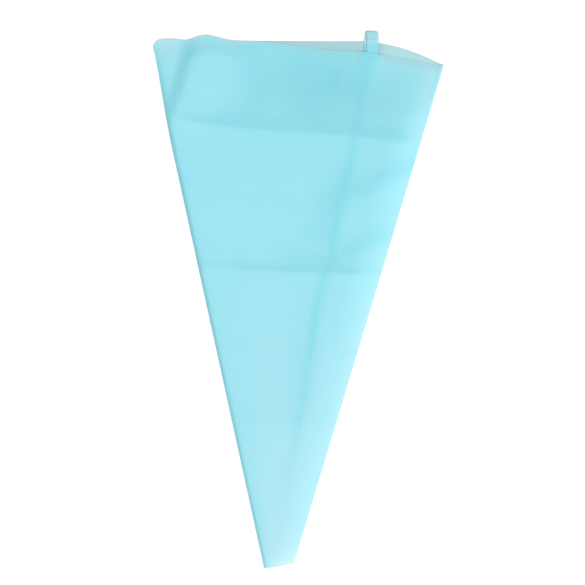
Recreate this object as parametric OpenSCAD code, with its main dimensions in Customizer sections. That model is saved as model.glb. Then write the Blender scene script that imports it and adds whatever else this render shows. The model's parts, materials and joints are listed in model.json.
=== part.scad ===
// Reusable piping bag, empty and lying flat on its back wall.
// One film cone with a lap seam inside its back wall and a folded-strip hanging loop.
// +X across the bag, +Y from the tip to the mouth, +Z up. Millimetres.

/* [Bag] */
// Straight width across the mouth, corner to corner
mouth_width = 198; // [150:1:260]
// Straight width across the tip opening
tip_width = 18.6; // [15:0.2:26]
// Length of each straight side, from tip corner to mouth corner
side_length = 357; // [290:1:440]
// Thickness of the film
film = 0.5; // [0.4:0.05:0.7]
// Outer height of the bag at its mouth, as it lies
mouth_height = 13; // [10:0.5:18]
// Outer height of the bag at its tip
tip_height = 6.5; // [6.2:0.1:9]
// Width of the slope from the side edge up to the flat of the front wall, at the mouth
mouth_slope = 24; // [14:1:36]
// The same slope's width at the tip
tip_slope = 3; // [2:0.5:4.5]
// How far the front wall's rim stands back from the back wall's rim
front_set_back = 4; // [1:0.5:10]
// Slant of the cut at the tip, in degrees
tip_slant = 12.8; // [0:0.2:18]

/* [Folds] */
// Distance from the rim down to the mouth fold, on the centre line
mouth_fold_depth = 64; // [45:1:85]
// Slant of the mouth fold, in degrees
mouth_fold_slant = -4.1; // [-6:0.1:6]
// Distance from the rim down to the middle fold
middle_fold_depth = 158; // [120:1:185]
// Distance from the rim down to the tip fold
tip_fold_depth = 260; // [215:1:280]
// Gap between two panels at their fold
fold_gap = 0.4; // [0.2:0.1:0.8]

/* [Lap seam] */
// Width of the lap seam
seam_width = 4.5; // [3:0.5:7]
// Distance from the right mouth corner to the seam's side
seam_mouth_inset = 47.5; // [35:0.5:60]
// Distance from the left tip corner to the seam's side
seam_tip_inset = 3; // [2:0.5:5]
// Gap between the seam's top end and the loop's tail
seam_end_gap = 0.2; // [0.1:0.1:1]

/* [Hanging loop] */
// Width of the loop's strip
loop_width = 10; // [7:0.5:14]
// Thickness of the loop's strip
loop_strip = 0.5; // [0.4:0.05:0.7]
// How far the loop stands out above the rim
loop_stand = 10; // [9:0.5:16]
// Height of the opening through the loop
loop_opening = 4.8; // [4.4:0.1:6]
// Length of the tail welded inside the back wall
loop_tail_length = 10; // [6:0.5:20]
// Distance from the rim to the line that the loop bends at
loop_hinge_reach = 0.9; // [0.9:0.1:1.5]
// Gap between the tail's rounded end and the loop
loop_hinge_gap = 0.3; // [0.2:0.05:0.5]

/* [Hidden] */
film_color = [0.60, 0.88, 0.94];
seam_color = [0.50, 0.83, 0.90];
loop_color = [0.55, 0.85, 0.91];

// The sides meet at an apex below the tip. Distances named "from_apex" run up the centre line.
half_angle = asin((mouth_width - tip_width) / 2 / side_length);
rim_radius = mouth_width / 2 / sin(half_angle);
tip_from_apex = tip_width / 2 / tan(half_angle);
mouth_fold_from_apex = rim_radius - mouth_fold_depth;
middle_fold_from_apex = rim_radius - middle_fold_depth;
tip_fold_from_apex = rim_radius - tip_fold_depth;

// Larger than the whole bag, for the cutting shapes
reach = rim_radius + mouth_width;
// Thickness of a slice that a wall is stretched from
slice = 0.02;
// How far the walls run on past the rim and the tip before they are cut
overrun = 8;

// Seam line, at the rim and at the tip
seam_mouth_x = mouth_width / 2 - seam_mouth_inset - seam_width / 2;
seam_mouth_y = rim_radius;
seam_tip_x = seam_tip_inset + seam_width / 2 - tip_width / 2;
seam_tip_y = tip_from_apex;
seam_lean = atan2(seam_mouth_x - seam_tip_x, seam_mouth_y - seam_tip_y);
seam_run = norm([seam_mouth_x - seam_tip_x, seam_mouth_y - seam_tip_y]);

// The loop lines up with the seam at the rim
loop_x = seam_mouth_x;
loop_rim = sqrt(pow(rim_radius, 2) - pow(loop_x - loop_width / 2, 2));
loop_tail_bottom = loop_rim - loop_tail_length;
loop_hinge_y = loop_rim + loop_hinge_reach;
loop_hinge_z = film + loop_strip;
loop_top = loop_rim + loop_stand;
loop_radius = loop_opening / 2 + loop_strip;
loop_neck_start = loop_hinge_y + loop_strip + loop_hinge_gap;
loop_start = loop_neck_start + loop_hinge_gap;

// The origin is the middle of the bag's box, at the bottom
lowest_y = tip_from_apex / (1 + tan(half_angle) * tan(tip_slant));
middle_y = (lowest_y + loop_top) / 2;

// 0 at the tip, 1 at the rim
function share(from_apex) = (from_apex - tip_from_apex) / (rim_radius - tip_from_apex);
function height_at(from_apex) = tip_height + (mouth_height - tip_height) * share(from_apex);
function slope_at(from_apex) = tip_slope + (mouth_slope - tip_slope) * share(from_apex);
// Sideways thickness of the sloping wall
function slope_wall(from_apex) =
    film * norm([height_at(from_apex), slope_at(from_apex)]) / height_at(from_apex);

// Half the outer width at a height z
function half_width(from_apex, z) =
    from_apex * tan(half_angle) - slope_at(from_apex) * z / height_at(from_apex);

// A thin slice across the bag: flat back wall, sloping sides, flat front wall
module cross_slice(from_apex, low, high, side_wall) {
    low_x = half_width(from_apex, low) - side_wall;
    high_x = half_width(from_apex, high) - side_wall;
    translate([0, from_apex, 0]) rotate([90, 0, 0]) linear_extrude(slice, center = true)
        polygon([[-low_x, low], [low_x, low], [high_x, high], [-high_x, high]]);
}

module outer_form() {
    for_tip = tip_from_apex - overrun;
    for_rim = rim_radius + overrun;
    hull() {
        cross_slice(for_tip, 0, height_at(for_tip), 0);
        cross_slice(for_rim, 0, height_at(for_rim), 0);
    }
}

module inner_form() {
    for_tip = tip_from_apex - 2 * overrun;
    for_rim = rim_radius + 2 * overrun;
    hull() {
        cross_slice(for_tip, film, height_at(for_tip) - film, slope_wall(for_tip));
        cross_slice(for_rim, film, height_at(for_rim) - film, slope_wall(for_rim));
    }
}

// Everything on the tip's side of a line across the bag
module tip_side(from_apex, slant, gap) {
    translate([0, from_apex]) rotate(slant) translate([-reach, -2 * reach - gap])
        square([2 * reach, 2 * reach]);
}

// Everything on the mouth's side of a line across the bag
module mouth_side(from_apex, slant, gap) {
    translate([0, from_apex]) rotate(slant) translate([-reach, gap])
        square([2 * reach, 2 * reach]);
}

// The stretch between two lines, through the bag's whole height
module stretch(low, low_slant, low_gap, high, high_slant, high_gap) {
    translate([0, 0, -overrun]) linear_extrude(mouth_height + 3 * overrun) intersection() {
        mouth_side(low, low_slant, low_gap);
        tip_side(high, high_slant, high_gap);
    }
}

// A panel's place between its folds, or between a fold and an end
module mouth_stretch() {
    stretch(mouth_fold_from_apex, mouth_fold_slant, fold_gap / 2, rim_radius + overrun, 0, 0);
}

module upper_stretch() {
    stretch(middle_fold_from_apex, 0, fold_gap / 2, mouth_fold_from_apex, mouth_fold_slant, fold_gap / 2);
}

module lower_stretch() {
    stretch(tip_fold_from_apex, 0, fold_gap / 2, middle_fold_from_apex, 0, fold_gap / 2);
}

module tip_stretch() {
    stretch(tip_from_apex, tip_slant, 0, tip_fold_from_apex, 0, fold_gap / 2);
}

// The film cone with both rims cut as arcs about the apex
module film_cone() {
    difference() {
        outer_form();
        inner_form();
        difference() {
            cylinder(h = mouth_height + 2 * overrun, r = reach, center = true, $fn = 180);
            cylinder(h = mouth_height + 3 * overrun, r = rim_radius, center = true, $fn = 360);
        }
        translate([0, 0, film]) difference() {
            cylinder(h = mouth_height + overrun, r = reach, $fn = 180);
            translate([0, 0, -1])
                cylinder(h = mouth_height + 2 * overrun, r = rim_radius - front_set_back, $fn = 360);
        }
    }
}

// The lap seam inside the back wall, from the tip to the loop's tail
module seam_strip() {
    intersection() {
        translate([seam_tip_x, seam_tip_y, film]) rotate(-seam_lean)
            translate([-seam_width / 2, -overrun, 0]) cube([seam_width, seam_run + overrun, film]);
        translate([-reach, 0, 0]) cube([2 * reach, loop_tail_bottom - seam_end_gap, mouth_height]);
    }
}

module place() {
    translate([0, -middle_y, 0]) children();
}

module mouth_film() { color(film_color) place() intersection() { film_cone(); mouth_stretch(); } }
module upper_film() { color(film_color) place() intersection() { film_cone(); upper_stretch(); } }
module lower_film() { color(film_color) place() intersection() { film_cone(); lower_stretch(); } }
module tip_film() { color(film_color) place() intersection() { film_cone(); tip_stretch(); } }

module mouth_seam() { color(seam_color) place() intersection() { seam_strip(); mouth_stretch(); } }
module upper_seam() { color(seam_color) place() intersection() { seam_strip(); upper_stretch(); } }
module lower_seam() { color(seam_color) place() intersection() { seam_strip(); lower_stretch(); } }
module tip_seam() { color(seam_color) place() intersection() { seam_strip(); tip_stretch(); } }

// Both ends of the loop's strip, one on the other, ending in a rounded edge at the hinge line
module loop_tail() {
    color(loop_color) place() {
        translate([loop_x - loop_width / 2, loop_tail_bottom, film])
            cube([loop_width, loop_hinge_y - loop_tail_bottom, 2 * loop_strip]);
        translate([loop_x, loop_hinge_y, loop_hinge_z]) rotate([0, 90, 0])
            cylinder(h = loop_width, r = loop_strip, center = true, $fn = 48);
    }
}

// A shape with two round ends, as long and high as given less an inset all round
module round_ended(start, end, radius, inset) {
    for (x = [start + radius, end - radius]) translate([x, radius]) circle(radius - inset, $fn = 96);
    translate([start + radius, inset]) square([end - start - 2 * radius, 2 * (radius - inset)]);
}

// The loop's strip bent round its opening, with the neck where both plies meet
module loop_eye() {
    color(loop_color) place() translate([loop_x - loop_width / 2, 0, 0])
        rotate([90, 0, 90]) linear_extrude(loop_width) difference() {
            union() {
                round_ended(loop_start, loop_top, loop_radius, 0);
                translate([loop_neck_start, film]) square([loop_radius, 2 * loop_strip]);
            }
            round_ended(loop_start, loop_top, loop_radius, loop_strip);
        }
}

mouth_film();
upper_film();
lower_film();
tip_film();
mouth_seam();
upper_seam();
lower_seam();
tip_seam();
loop_tail();
loop_eye();
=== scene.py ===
"""A reusable piping bag of soft cloudy film, empty and lying flat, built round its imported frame."""

import json
import logging
import math
from dataclasses import dataclass, field
from enum import Enum
from typing import Any

import bpy
import numpy as np
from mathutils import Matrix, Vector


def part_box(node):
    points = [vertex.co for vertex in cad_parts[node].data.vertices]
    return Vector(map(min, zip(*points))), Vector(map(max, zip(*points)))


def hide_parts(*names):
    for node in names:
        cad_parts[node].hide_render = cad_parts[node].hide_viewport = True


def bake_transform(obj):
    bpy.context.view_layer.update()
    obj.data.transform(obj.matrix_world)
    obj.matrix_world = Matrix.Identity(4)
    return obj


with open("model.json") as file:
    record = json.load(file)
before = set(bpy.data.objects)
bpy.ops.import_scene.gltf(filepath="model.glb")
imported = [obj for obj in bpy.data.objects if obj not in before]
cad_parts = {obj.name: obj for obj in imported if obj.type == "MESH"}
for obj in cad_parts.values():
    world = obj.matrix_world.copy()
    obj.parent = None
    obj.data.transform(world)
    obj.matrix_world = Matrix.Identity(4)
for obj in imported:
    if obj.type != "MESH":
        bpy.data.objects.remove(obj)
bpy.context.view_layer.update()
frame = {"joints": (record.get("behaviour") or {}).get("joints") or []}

log = logging.getLogger("piping_bag")

MM = 0.001

Array = np.ndarray
Point = tuple[float, float]
Knots = tuple[Point, ...]
Span = tuple[float, float]
Colour = tuple[float, float, float, float]

# Degrees, as the cut at the tip slants in the CAD
TIP_SLANT = 12.8
# Millimetres, of the slack that lifts the back wall off the table here and there
SLACK_RISE = 0.12
SLACK_PITCH = 31.0


class Body(Enum):
    """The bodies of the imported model."""

    MOUTH = "mouth"
    UPPER = "upper"
    LOWER = "lower"
    TIP = "tip"
    LOOP = "loop"


class Mask(Enum):
    """What the film's mesh tells its finish, one number from 0 to 1 at each point."""

    SEAM = "seam_below"
    TAIL = "tail_below"
    SINGLE = "single_ply"
    # Painted shade beside the creases, across the mouth panel and along the left fold
    PAINTED_SHADE = "painted_shade"
    # Paler film towards the tip, at the cut and by the rim, plus painted highlight on the right side and the
    # hump, and painted light on the loop's shaded lower ply
    PALE_AND_LIT = "paler_film_and_painted_light"


def smooth_step(x: Array, low: float, high: float) -> Array:
    """0 below low, 1 above high, and smooth between."""
    s = np.clip((x - low) / (high - low), 0.0, 1.0)
    return s * s * (3.0 - 2.0 * s)


def smooth_through(knots: Knots, x: Array) -> Array:
    """A smooth curve through a few points.

    Args:
        knots: The points, by rising x.
        x: Where the curve is wanted. It stays level past the ends.

    Returns:
        The curve's value at each x.
    """
    kx, ky = (np.array(c, float) for c in zip(*knots))
    chord = np.diff(ky) / np.diff(kx)
    slope = np.concatenate([[chord[0]], (chord[:-1] + chord[1:]) / 2, [chord[-1]]])
    at = np.clip(x, kx[0], kx[-1])
    i = np.clip(np.searchsorted(kx, at, side="right") - 1, 0, len(kx) - 2)
    run = kx[i + 1] - kx[i]
    s = (at - kx[i]) / run
    rise = ky[i + 1] - ky[i]
    return (
        ky[i]
        + run * slope[i] * s * (1 - s) ** 2
        - run * slope[i + 1] * s * s * (1 - s)
        + rise * s * s * (3 - 2 * s)
    )


def fade_out(gap: Array, reach: float | Array) -> Array:
    """1 where there is no gap, dying away over that reach past it."""
    return np.exp(-np.maximum(gap, 0.0) / reach)


def slack(out: Array, shift: float | Array = 0.0) -> Array:
    """How far the back wall stands off the table at that distance from the apex, in millimetres."""
    return SLACK_RISE * np.sin(out / SLACK_PITCH + shift) ** 2


# ---------------------------------------------------------------- measures


@dataclass(frozen=True)
class Fold:
    """A line that the film folds along, with its joint.

    Args:
        centre: A point on the line, in metres.
        toward: The direction across it, towards the mouth.
    """

    centre: Array
    toward: Array

    @classmethod
    def of_joint(cls, name: str) -> "Fold":
        """The fold at the joint of that name."""
        joint = next(j for j in frame["joints"] if j["name"] == name)
        axis = np.array(joint["axis"], float)
        across = np.array([-axis[1], axis[0], 0.0])
        return cls(np.array(joint["pos_m"], float), across * np.sign(across[1]))

    def ends(self, reach: float) -> tuple[Array, Array]:
        """The points that far on either side of the fold, the tip's side first."""
        return self.centre - self.toward * reach, self.centre + self.toward * reach


@dataclass(frozen=True)
class BagMeasures:
    """The cone's measures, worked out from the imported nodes. The sides meet at the apex below the tip.

    Args:
        half_angle: The angle between the centre line and a side.
        apex_y: The apex's y.
        rim: The rim's distance from the apex.
        tip: The tip's, on the centre line.
        tip_slant: The slant of the cut at the tip.
        film: The film's thickness.
    """

    half_angle: float
    apex_y: float
    rim: float
    tip: float
    tip_slant: float
    film: float

    @classmethod
    def from_frame(cls) -> "BagMeasures":
        """Reads the cone off the lowest two stretches of film, the rim and the tip."""
        _, low_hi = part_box("lower_film")
        tip_lo, tip_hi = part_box("tip_film")
        _, mouth_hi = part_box("mouth_film")
        spread = (low_hi.x - tip_hi.x) / (low_hi.y - tip_hi.y)
        apex_y = low_hi.y - low_hi.x / spread
        left = tip_lo.y - apex_y
        seam_lo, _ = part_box("tip_seam")
        slant = math.radians(TIP_SLANT)
        tip = left * (1.0 + spread * math.tan(slant))
        return cls(math.atan(spread), apex_y, mouth_hi.y - apex_y, tip, slant, seam_lo.z)

    def flat_stretch(self, low: float, high: float) -> tuple[tuple[float, float], float]:
        """The flat cut of the film between two distances from the apex.

        Args:
            low: The nearer distance, in metres.
            high: The further one.

        Returns:
            Its width and length, and its area.
        """
        half_cut = 2.0 * self.half_angle
        size = 2.0 * high * math.sin(half_cut), high - low * math.cos(half_cut)
        return size, half_cut * (high**2 - low**2)


# ---------------------------------------------------------------- the film's shape


@dataclass(frozen=True)
class Line:
    """A line on the flat bag, across and along it from its centre line and apex, in millimetres.

    Args:
        points: The points that it passes through.
        fade: How far from its ends what follows it dies away.
    """

    points: Knots
    fade: float = 12.0

    def distance(self, x: Array, y: Array) -> tuple[Array, Array]:
        """How far each place is from the line.

        Args:
            x: The place across the bag.
            y: The place along it.

        Returns:
            The distance, more than 0 on the line's left as it runs, and the share left near its ends.
        """
        best = np.full(x.shape, np.inf)
        signed = np.zeros(x.shape)
        over = np.zeros(x.shape)
        last = len(self.points) - 2
        for n, ((ax, ay), (bx, by)) in enumerate(zip(self.points, self.points[1:])):
            length = math.hypot(bx - ax, by - ay)
            ux, uy = (bx - ax) / length, (by - ay) / length
            run = (x - ax) * ux + (y - ay) * uy
            side = (y - ay) * ux - (x - ax) * uy
            held = np.clip(run, -np.inf if n == 0 else 0.0, np.inf if n == last else length)
            away = np.hypot(run - held, side)
            nearer = away < best
            best = np.where(nearer, away, best)
            signed = np.where(nearer, np.copysign(away, side), signed)
            before = -run if n == 0 else np.zeros(x.shape)
            after = run - length if n == last else np.zeros(x.shape)
            over = np.where(nearer, np.maximum(before, after), over)
        return signed, 1.0 - smooth_step(over, -self.fade, self.fade)


@dataclass(frozen=True)
class Ridge:
    """A soft fold standing up from the film, or a valley when its height is below 0.

    Args:
        line: Its crest.
        height: How far it stands up.
        left: How far its left side reaches.
        right: The same on its right.
        crest: The radius of its crest.
    """

    line: Line
    height: float
    left: float
    right: float
    crest: float = 0.8

    def rise(self, x: Array, y: Array) -> Array:
        """How far it lifts the film at each place, in millimetres."""
        side, kept = self.line.distance(x, y)
        reach = np.where(side > 0, self.left, self.right)
        soft = np.sqrt(side**2 + self.crest**2) - self.crest
        return self.height * kept * np.exp(-soft / reach)


@dataclass(frozen=True)
class ShadeBand:
    """A band of painted shade beside a line, where the film's colour is made deeper.

    Args:
        line: The line.
        depth: How deep it is, from 0 to 1.
        left: How far it reaches on the line's left.
        right: The same on its right.
    """

    line: Line
    depth: float
    left: float
    right: float

    def value(self, x: Array, y: Array) -> Array:
        """The painted shade at each place."""
        side, kept = self.line.distance(x, y)
        share = np.abs(side) / np.where(side > 0, self.left, self.right)
        return self.depth * kept * np.exp(-(share**3))


@dataclass(frozen=True)
class MouthRoll:
    """The valley and the hump beside the left fold. Places are shares of the half width, at the rim.

    Args:
        depth: How far below the rim they have moved to the left by the lean, in millimetres.
        lean: That lean.
        deepest: Where the lean stops. This, dies and grows are in shares of the depth.
        dies: Where both die away.
        at_rim: Their strength at the rim itself.
        grows: Where they are at their full strength.
        valley_at: The valley's place.
        valley_half: Its half width.
        valley_drop: How far it sinks, in millimetres.
        hump_at: The hump's place.
        hump_left: How far its left side reaches.
        hump_right: The same on its right.
        hump_rise: How far it stands up, in millimetres.
    """

    depth: float = 62.0
    lean: float = 0.31
    deepest: float = 1.6
    dies: Span = (0.3, 1.15)
    at_rim: float = 0.72
    grows: float = 0.2
    valley_at: float = -0.775
    valley_half: float = 0.06
    valley_drop: float = 0.7
    hump_at: float = -0.685
    hump_left: float = 0.085
    hump_right: float = 0.34
    hump_rise: float = 3.0

    def rise(self, share: Array, below: Array) -> Array:
        """How far it lifts the film, that far below the rim."""
        down = np.clip(below / self.depth, 0.0, self.deepest)
        kept = 1.0 - smooth_step(down, *self.dies)
        kept = kept * (self.at_rim + (1.0 - self.at_rim) * smooth_step(down, 0.0, self.grows))
        valley = np.exp(-(((share - self.valley_at + self.lean * down) / self.valley_half) ** 2))
        past = share - self.hump_at + self.lean * down
        hump = np.exp(-((past / np.where(past > 0, self.hump_right, self.hump_left)) ** 2))
        return kept * (self.hump_rise * hump - self.valley_drop * valley)


@dataclass(frozen=True)
class RimRest:
    """How the front wall thins out to its rim and sinks onto the back wall. Heights are in millimetres.

    Args:
        starts: The shares of the half width between which it starts to sink, right of the hump.
        ends: The shares between which it stands up again, by the right fold.
        sinks: How far below the rim it starts to sink, and where it has sunk.
        left_starts: The shares between which the hump's own rim starts to sink.
        left_sunk: How far that rim sinks, as a share of the whole way.
        left_sinks: How far below the rim it starts to.
        thinned: The share of the thickness that is lost at the rim.
        thins: How far below the rim it starts to thin.
        gap: What is left between the walls.
        loop_at: The loop's place, as a share of the half width.
        loop_half: Its half width.
        loop_lift: How far the loop's tail lifts the rim.
    """

    starts: Span = (-0.42, -0.2)
    ends: Span = (0.965, 0.998)
    sinks: Span = (42.0, 1.0)
    left_starts: Span = (-0.98, -0.9)
    left_sunk: float = 0.6
    left_sinks: float = 13.0
    thinned: float = 0.75
    thins: float = 6.0
    gap: float = 0.03
    loop_at: float = 0.506
    loop_half: float = 0.075
    loop_lift: float = 0.62

    def sunk(self, share: Array, below: Array) -> Array:
        """How far the wall has sunk, from 0 to 1."""
        right = smooth_step(share, *self.starts)
        near = smooth_step(below, *self.sinks) * right * (1.0 - smooth_step(share, *self.ends))
        left = smooth_step(below, self.left_sinks, 0.0) * (1.0 - right)
        return near + self.left_sunk * left * smooth_step(share, *self.left_starts)

    def thickness(self, below: Array) -> Array:
        """The share of the film's thickness that the front wall keeps."""
        return 1.0 - self.thinned * smooth_step(below, self.thins, 0.0)

    def lift(self, share: Array) -> Array:
        """How far the sunk wall stays off the back wall."""
        return self.gap + self.loop_lift * np.exp(-(((share - self.loop_at) / self.loop_half) ** 4))


@dataclass(frozen=True)
class FilmShape:
    """How the empty film lies. Heights and lengths are in millimetres, and share runs from -1 to 1.

    The share is -1 at the left fold and 1 at the right one. The lines are the storage creases, the dents
    beside the seam and a soft flute under the rim.

    Args:
        bag: The cone's measures.
        stands: How high the front wall stands, by distance from the apex.
        left_shoulder: How far the left fold's rise reaches.
        right_shoulder: The same at the right fold.
        front_rim: How far the front wall's rim stands past the cone's, by share.
        back_rim: The same for the back wall.
        fullness: How much lower the left fold's side stands than the right's.
        fold_radius: The radius of a side fold's middle layer.
        tip_step: How far the front wall's cut stands back at the tip.
        tip_round: How late across the tip that step closes, as a power.
        edge_pull: How far the left fold is drawn in at the rim.
        pull_from: Where that starts.
        slack_turn: How far the slack's waves turn across the bag.
        slack_edge: How far in from a fold the slack is whole.
    """

    bag: BagMeasures
    mouth_crease: Line = Line(
        (
            (-84, 336.4), (-70, 335.0), (-60, 334.2), (-48, 333.0), (-38, 331.6),
            (-21, 330.9), (0, 330.4), (44, 329.0), (74, 326.4),
        ),
        fade=10.0,
    )
    middle_crease: Line = Line(((-58, 236.4), (0, 235.8), (60, 236.6)), fade=9.0)
    tip_crease: Line = Line(((-34, 133.4), (30, 135.8)))
    upper_dent: Line = Line(((24, 274), (36, 285), (58, 299), (84, 312)))
    lower_dent: Line = Line(((34, 246), (68, 264)), fade=9.0)
    seam_side: Line = Line(((13, 150), (18, 200), (27, 240), (38, 300)), fade=22.0)
    flute: Knots = ((-27, 356), (-23, 367), (-14, 388))
    stands: Knots = ((36, 2.6), (134, 3.4), (236, 4.4), (330, 5.2), (394, 0.35))
    left_shoulder: Knots = ((36, 2.0), (134, 2.2), (330, 2.4), (394, 3.0))
    right_shoulder: Knots = ((36, 12.0), (90, 20.0), (134, 22.0), (200, 22.0), (250, 20.0), (394, 26.0))
    front_rim: Knots = (
        (-1.0, 2.6), (-0.985, 4.4), (-0.95, 5.7), (-0.9, 5.6), (-0.84, 4.4), (-0.77, 2.5), (-0.63, 3.7),
        (-0.46, -1.4), (-0.2, -3.2), (0.0, -5.6), (0.27, -6.8), (0.42, -5.4), (0.63, -5.5),
        (0.8, -4.5), (0.92, -3.7), (1.0, -2.4),
    )
    back_rim: Knots = (
        (-1.0, 2.6), (-0.9, 3.2), (-0.75, 0.4), (-0.45, -2.3), (-0.2, -2.7), (0.0, -2.5),
        (0.22, -1.3), (0.44, 1.3), (0.62, 1.9), (0.74, 1.3), (0.86, -0.2), (1.0, -2.4),
    )
    roll: MouthRoll = MouthRoll()
    rest: RimRest = RimRest()
    fullness: float = 0.16
    fold_radius: float = 0.42
    tip_step: float = 0.6
    tip_round: float = 6.0
    edge_pull: float = 2.2
    pull_from: float = 326.0
    slack_turn: float = 2.0
    slack_edge: float = 20.0

    def ridges(self) -> list[Ridge]:
        """The storage creases, the dents beside the seam and the soft flutes under the rim."""
        return [
            Ridge(self.mouth_crease, 3.4, 13.0, 34.0),
            Ridge(self.middle_crease, 2.3, 9.0, 26.0),
            Ridge(self.tip_crease, 0.6, 9.0, 22.0, crest=2.5),
            Ridge(self.upper_dent, 1.7, 9.0, 22.0, crest=3.0),
            Ridge(self.lower_dent, 0.6, 9.0, 16.0, crest=3.5),
            Ridge(self.seam_side, 0.55, 9.0, 22.0, crest=2.0),
            Ridge(Line(self.flute), -0.35, 7.0, 7.0, crest=3.0),
            Ridge(Line(((8, 360), (14, 392)), 16.0), 0.3, 8.0, 8.0, crest=4.0),
            Ridge(Line(((-30, 262), (-26, 300))), -0.15, 5.0, 5.0, crest=3.0),
        ]

    def painted_shades(self) -> list[ShadeBand]:
        """Painted shade beside the creases and dents, beside the seam, along the valley by the hump and down
        the flutes under the rim.
        """
        return [
            ShadeBand(Line(self.mouth_crease.points[3:], 14.0), 0.88, 12.0, 1.5),
            ShadeBand(Line(self.mouth_crease.points[1:4], 16.0), 1.0, 5.0, 1.5),
            ShadeBand(Line(((-34, 236.2), (0, 235.8), (44, 236.3)), 16.0), 1.0, 5.0, 1.5),
            ShadeBand(self.middle_crease, 0.3, 4.0, 1.5),
            ShadeBand(Line(((-6, 236), (40, 236.3)), 16.0), 0.45, 16.0, 1.5),
            ShadeBand(self.tip_crease, 0.15, 5.0, 2.5),
            ShadeBand(self.upper_dent, 0.8, 7.0, 6.0),
            ShadeBand(self.lower_dent, 0.42, 8.0, 5.0),
            ShadeBand(self.seam_side, 0.4, 15.0, 6.0),
            ShadeBand(Line(((20, 258), (28, 280), (40, 298)), 14.0), 0.8, 14.0, 8.0),
            ShadeBand(Line(((-74, 390), (-80, 362), (-86, 342)), 8.0), 1.0, 6.0, 5.0),
            ShadeBand(Line(self.flute, 10.0), 0.8, 4.5, 4.5),
            ShadeBand(Line(((22, 350), (27, 384)), 14.0), 0.78, 9.0, 9.0),
        ]

    def flat_place(self, share: Array, out: Array) -> tuple[Array, Array]:
        """The place across and along the bag, from its centre line and apex, in millimetres."""
        angle = share * self.bag.half_angle
        return out * np.sin(angle), out * np.cos(angle)

    def shoulder(self, away: Array, reach: Array) -> Array:
        """The rise from a side fold to the flat of the front wall, from 0 to 1."""
        return 1.0 - (1.0 - np.clip(away / reach, 0.0, 1.0)) ** 2.0

    def front(self, share: Array, out: Array) -> Array:
        """The height of the front wall's middle layer.

        Args:
            share: The place between the side folds.
            out: The distance from the apex.

        Returns:
            The height.
        """
        half = out * self.bag.half_angle
        left = self.shoulder((1.0 + share) * half, smooth_through(self.left_shoulder, out))
        right = self.shoulder((1.0 - share) * half, smooth_through(self.right_shoulder, out))
        full = left * right * (1.0 - self.fullness + self.fullness * share)
        x, y = self.flat_place(share, out)
        rise = smooth_through(self.stands, out) + sum(r.rise(x, y) for r in self.ridges())
        rise = rise + self.roll.rise(share, self.bag.rim / MM - out)
        film = self.bag.film / MM
        free = film / 2.0 + 2.0 * self.fold_radius + np.maximum(full * rise, 0.0)
        below = self.rim_at(share, True) - out
        apart = film * (1.0 + self.rest.thickness(below)) / 2.0 + self.rest.lift(share)
        resting = self.back(share, out) + apart
        return free + self.rest.sunk(share, below) * (resting - free)

    def back(self, share: Array, out: Array) -> Array:
        """The height of the back wall's middle layer, which lies on the table."""
        half = out * math.tan(self.bag.half_angle)
        inside = np.clip((1.0 - share**2) * half / self.slack_edge, 0.0, 1.0)
        return self.bag.film / MM / 2.0 + slack(out, share * self.slack_turn) * inside

    def rim_at(self, share: Array, front: bool) -> Array:
        """The rim's distance from the apex, in millimetres."""
        return self.bag.rim / MM + smooth_through(self.front_rim if front else self.back_rim, share)

    def tip_at(self, share: Array, front: bool) -> Array:
        """The tip cut's distance from the apex, in millimetres. The front wall's cut is a step higher."""
        angle = share * self.bag.half_angle
        cut = self.bag.tip / MM / (np.cos(angle) - np.sin(angle) * math.tan(self.bag.tip_slant))
        return cut + (self.tip_step * (1.0 - share**self.tip_round) if front else 0.0)

    def pull(self, share: Array, out: Array) -> Array:
        """The place between the folds once the left one is drawn in near the mouth."""
        near = smooth_step(out, self.pull_from, self.bag.rim / MM)
        drawn = self.edge_pull / (self.bag.rim / MM * math.tan(self.bag.half_angle))
        return share + drawn * near * np.clip(-share, 0.0, 1.0) ** 3


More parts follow.
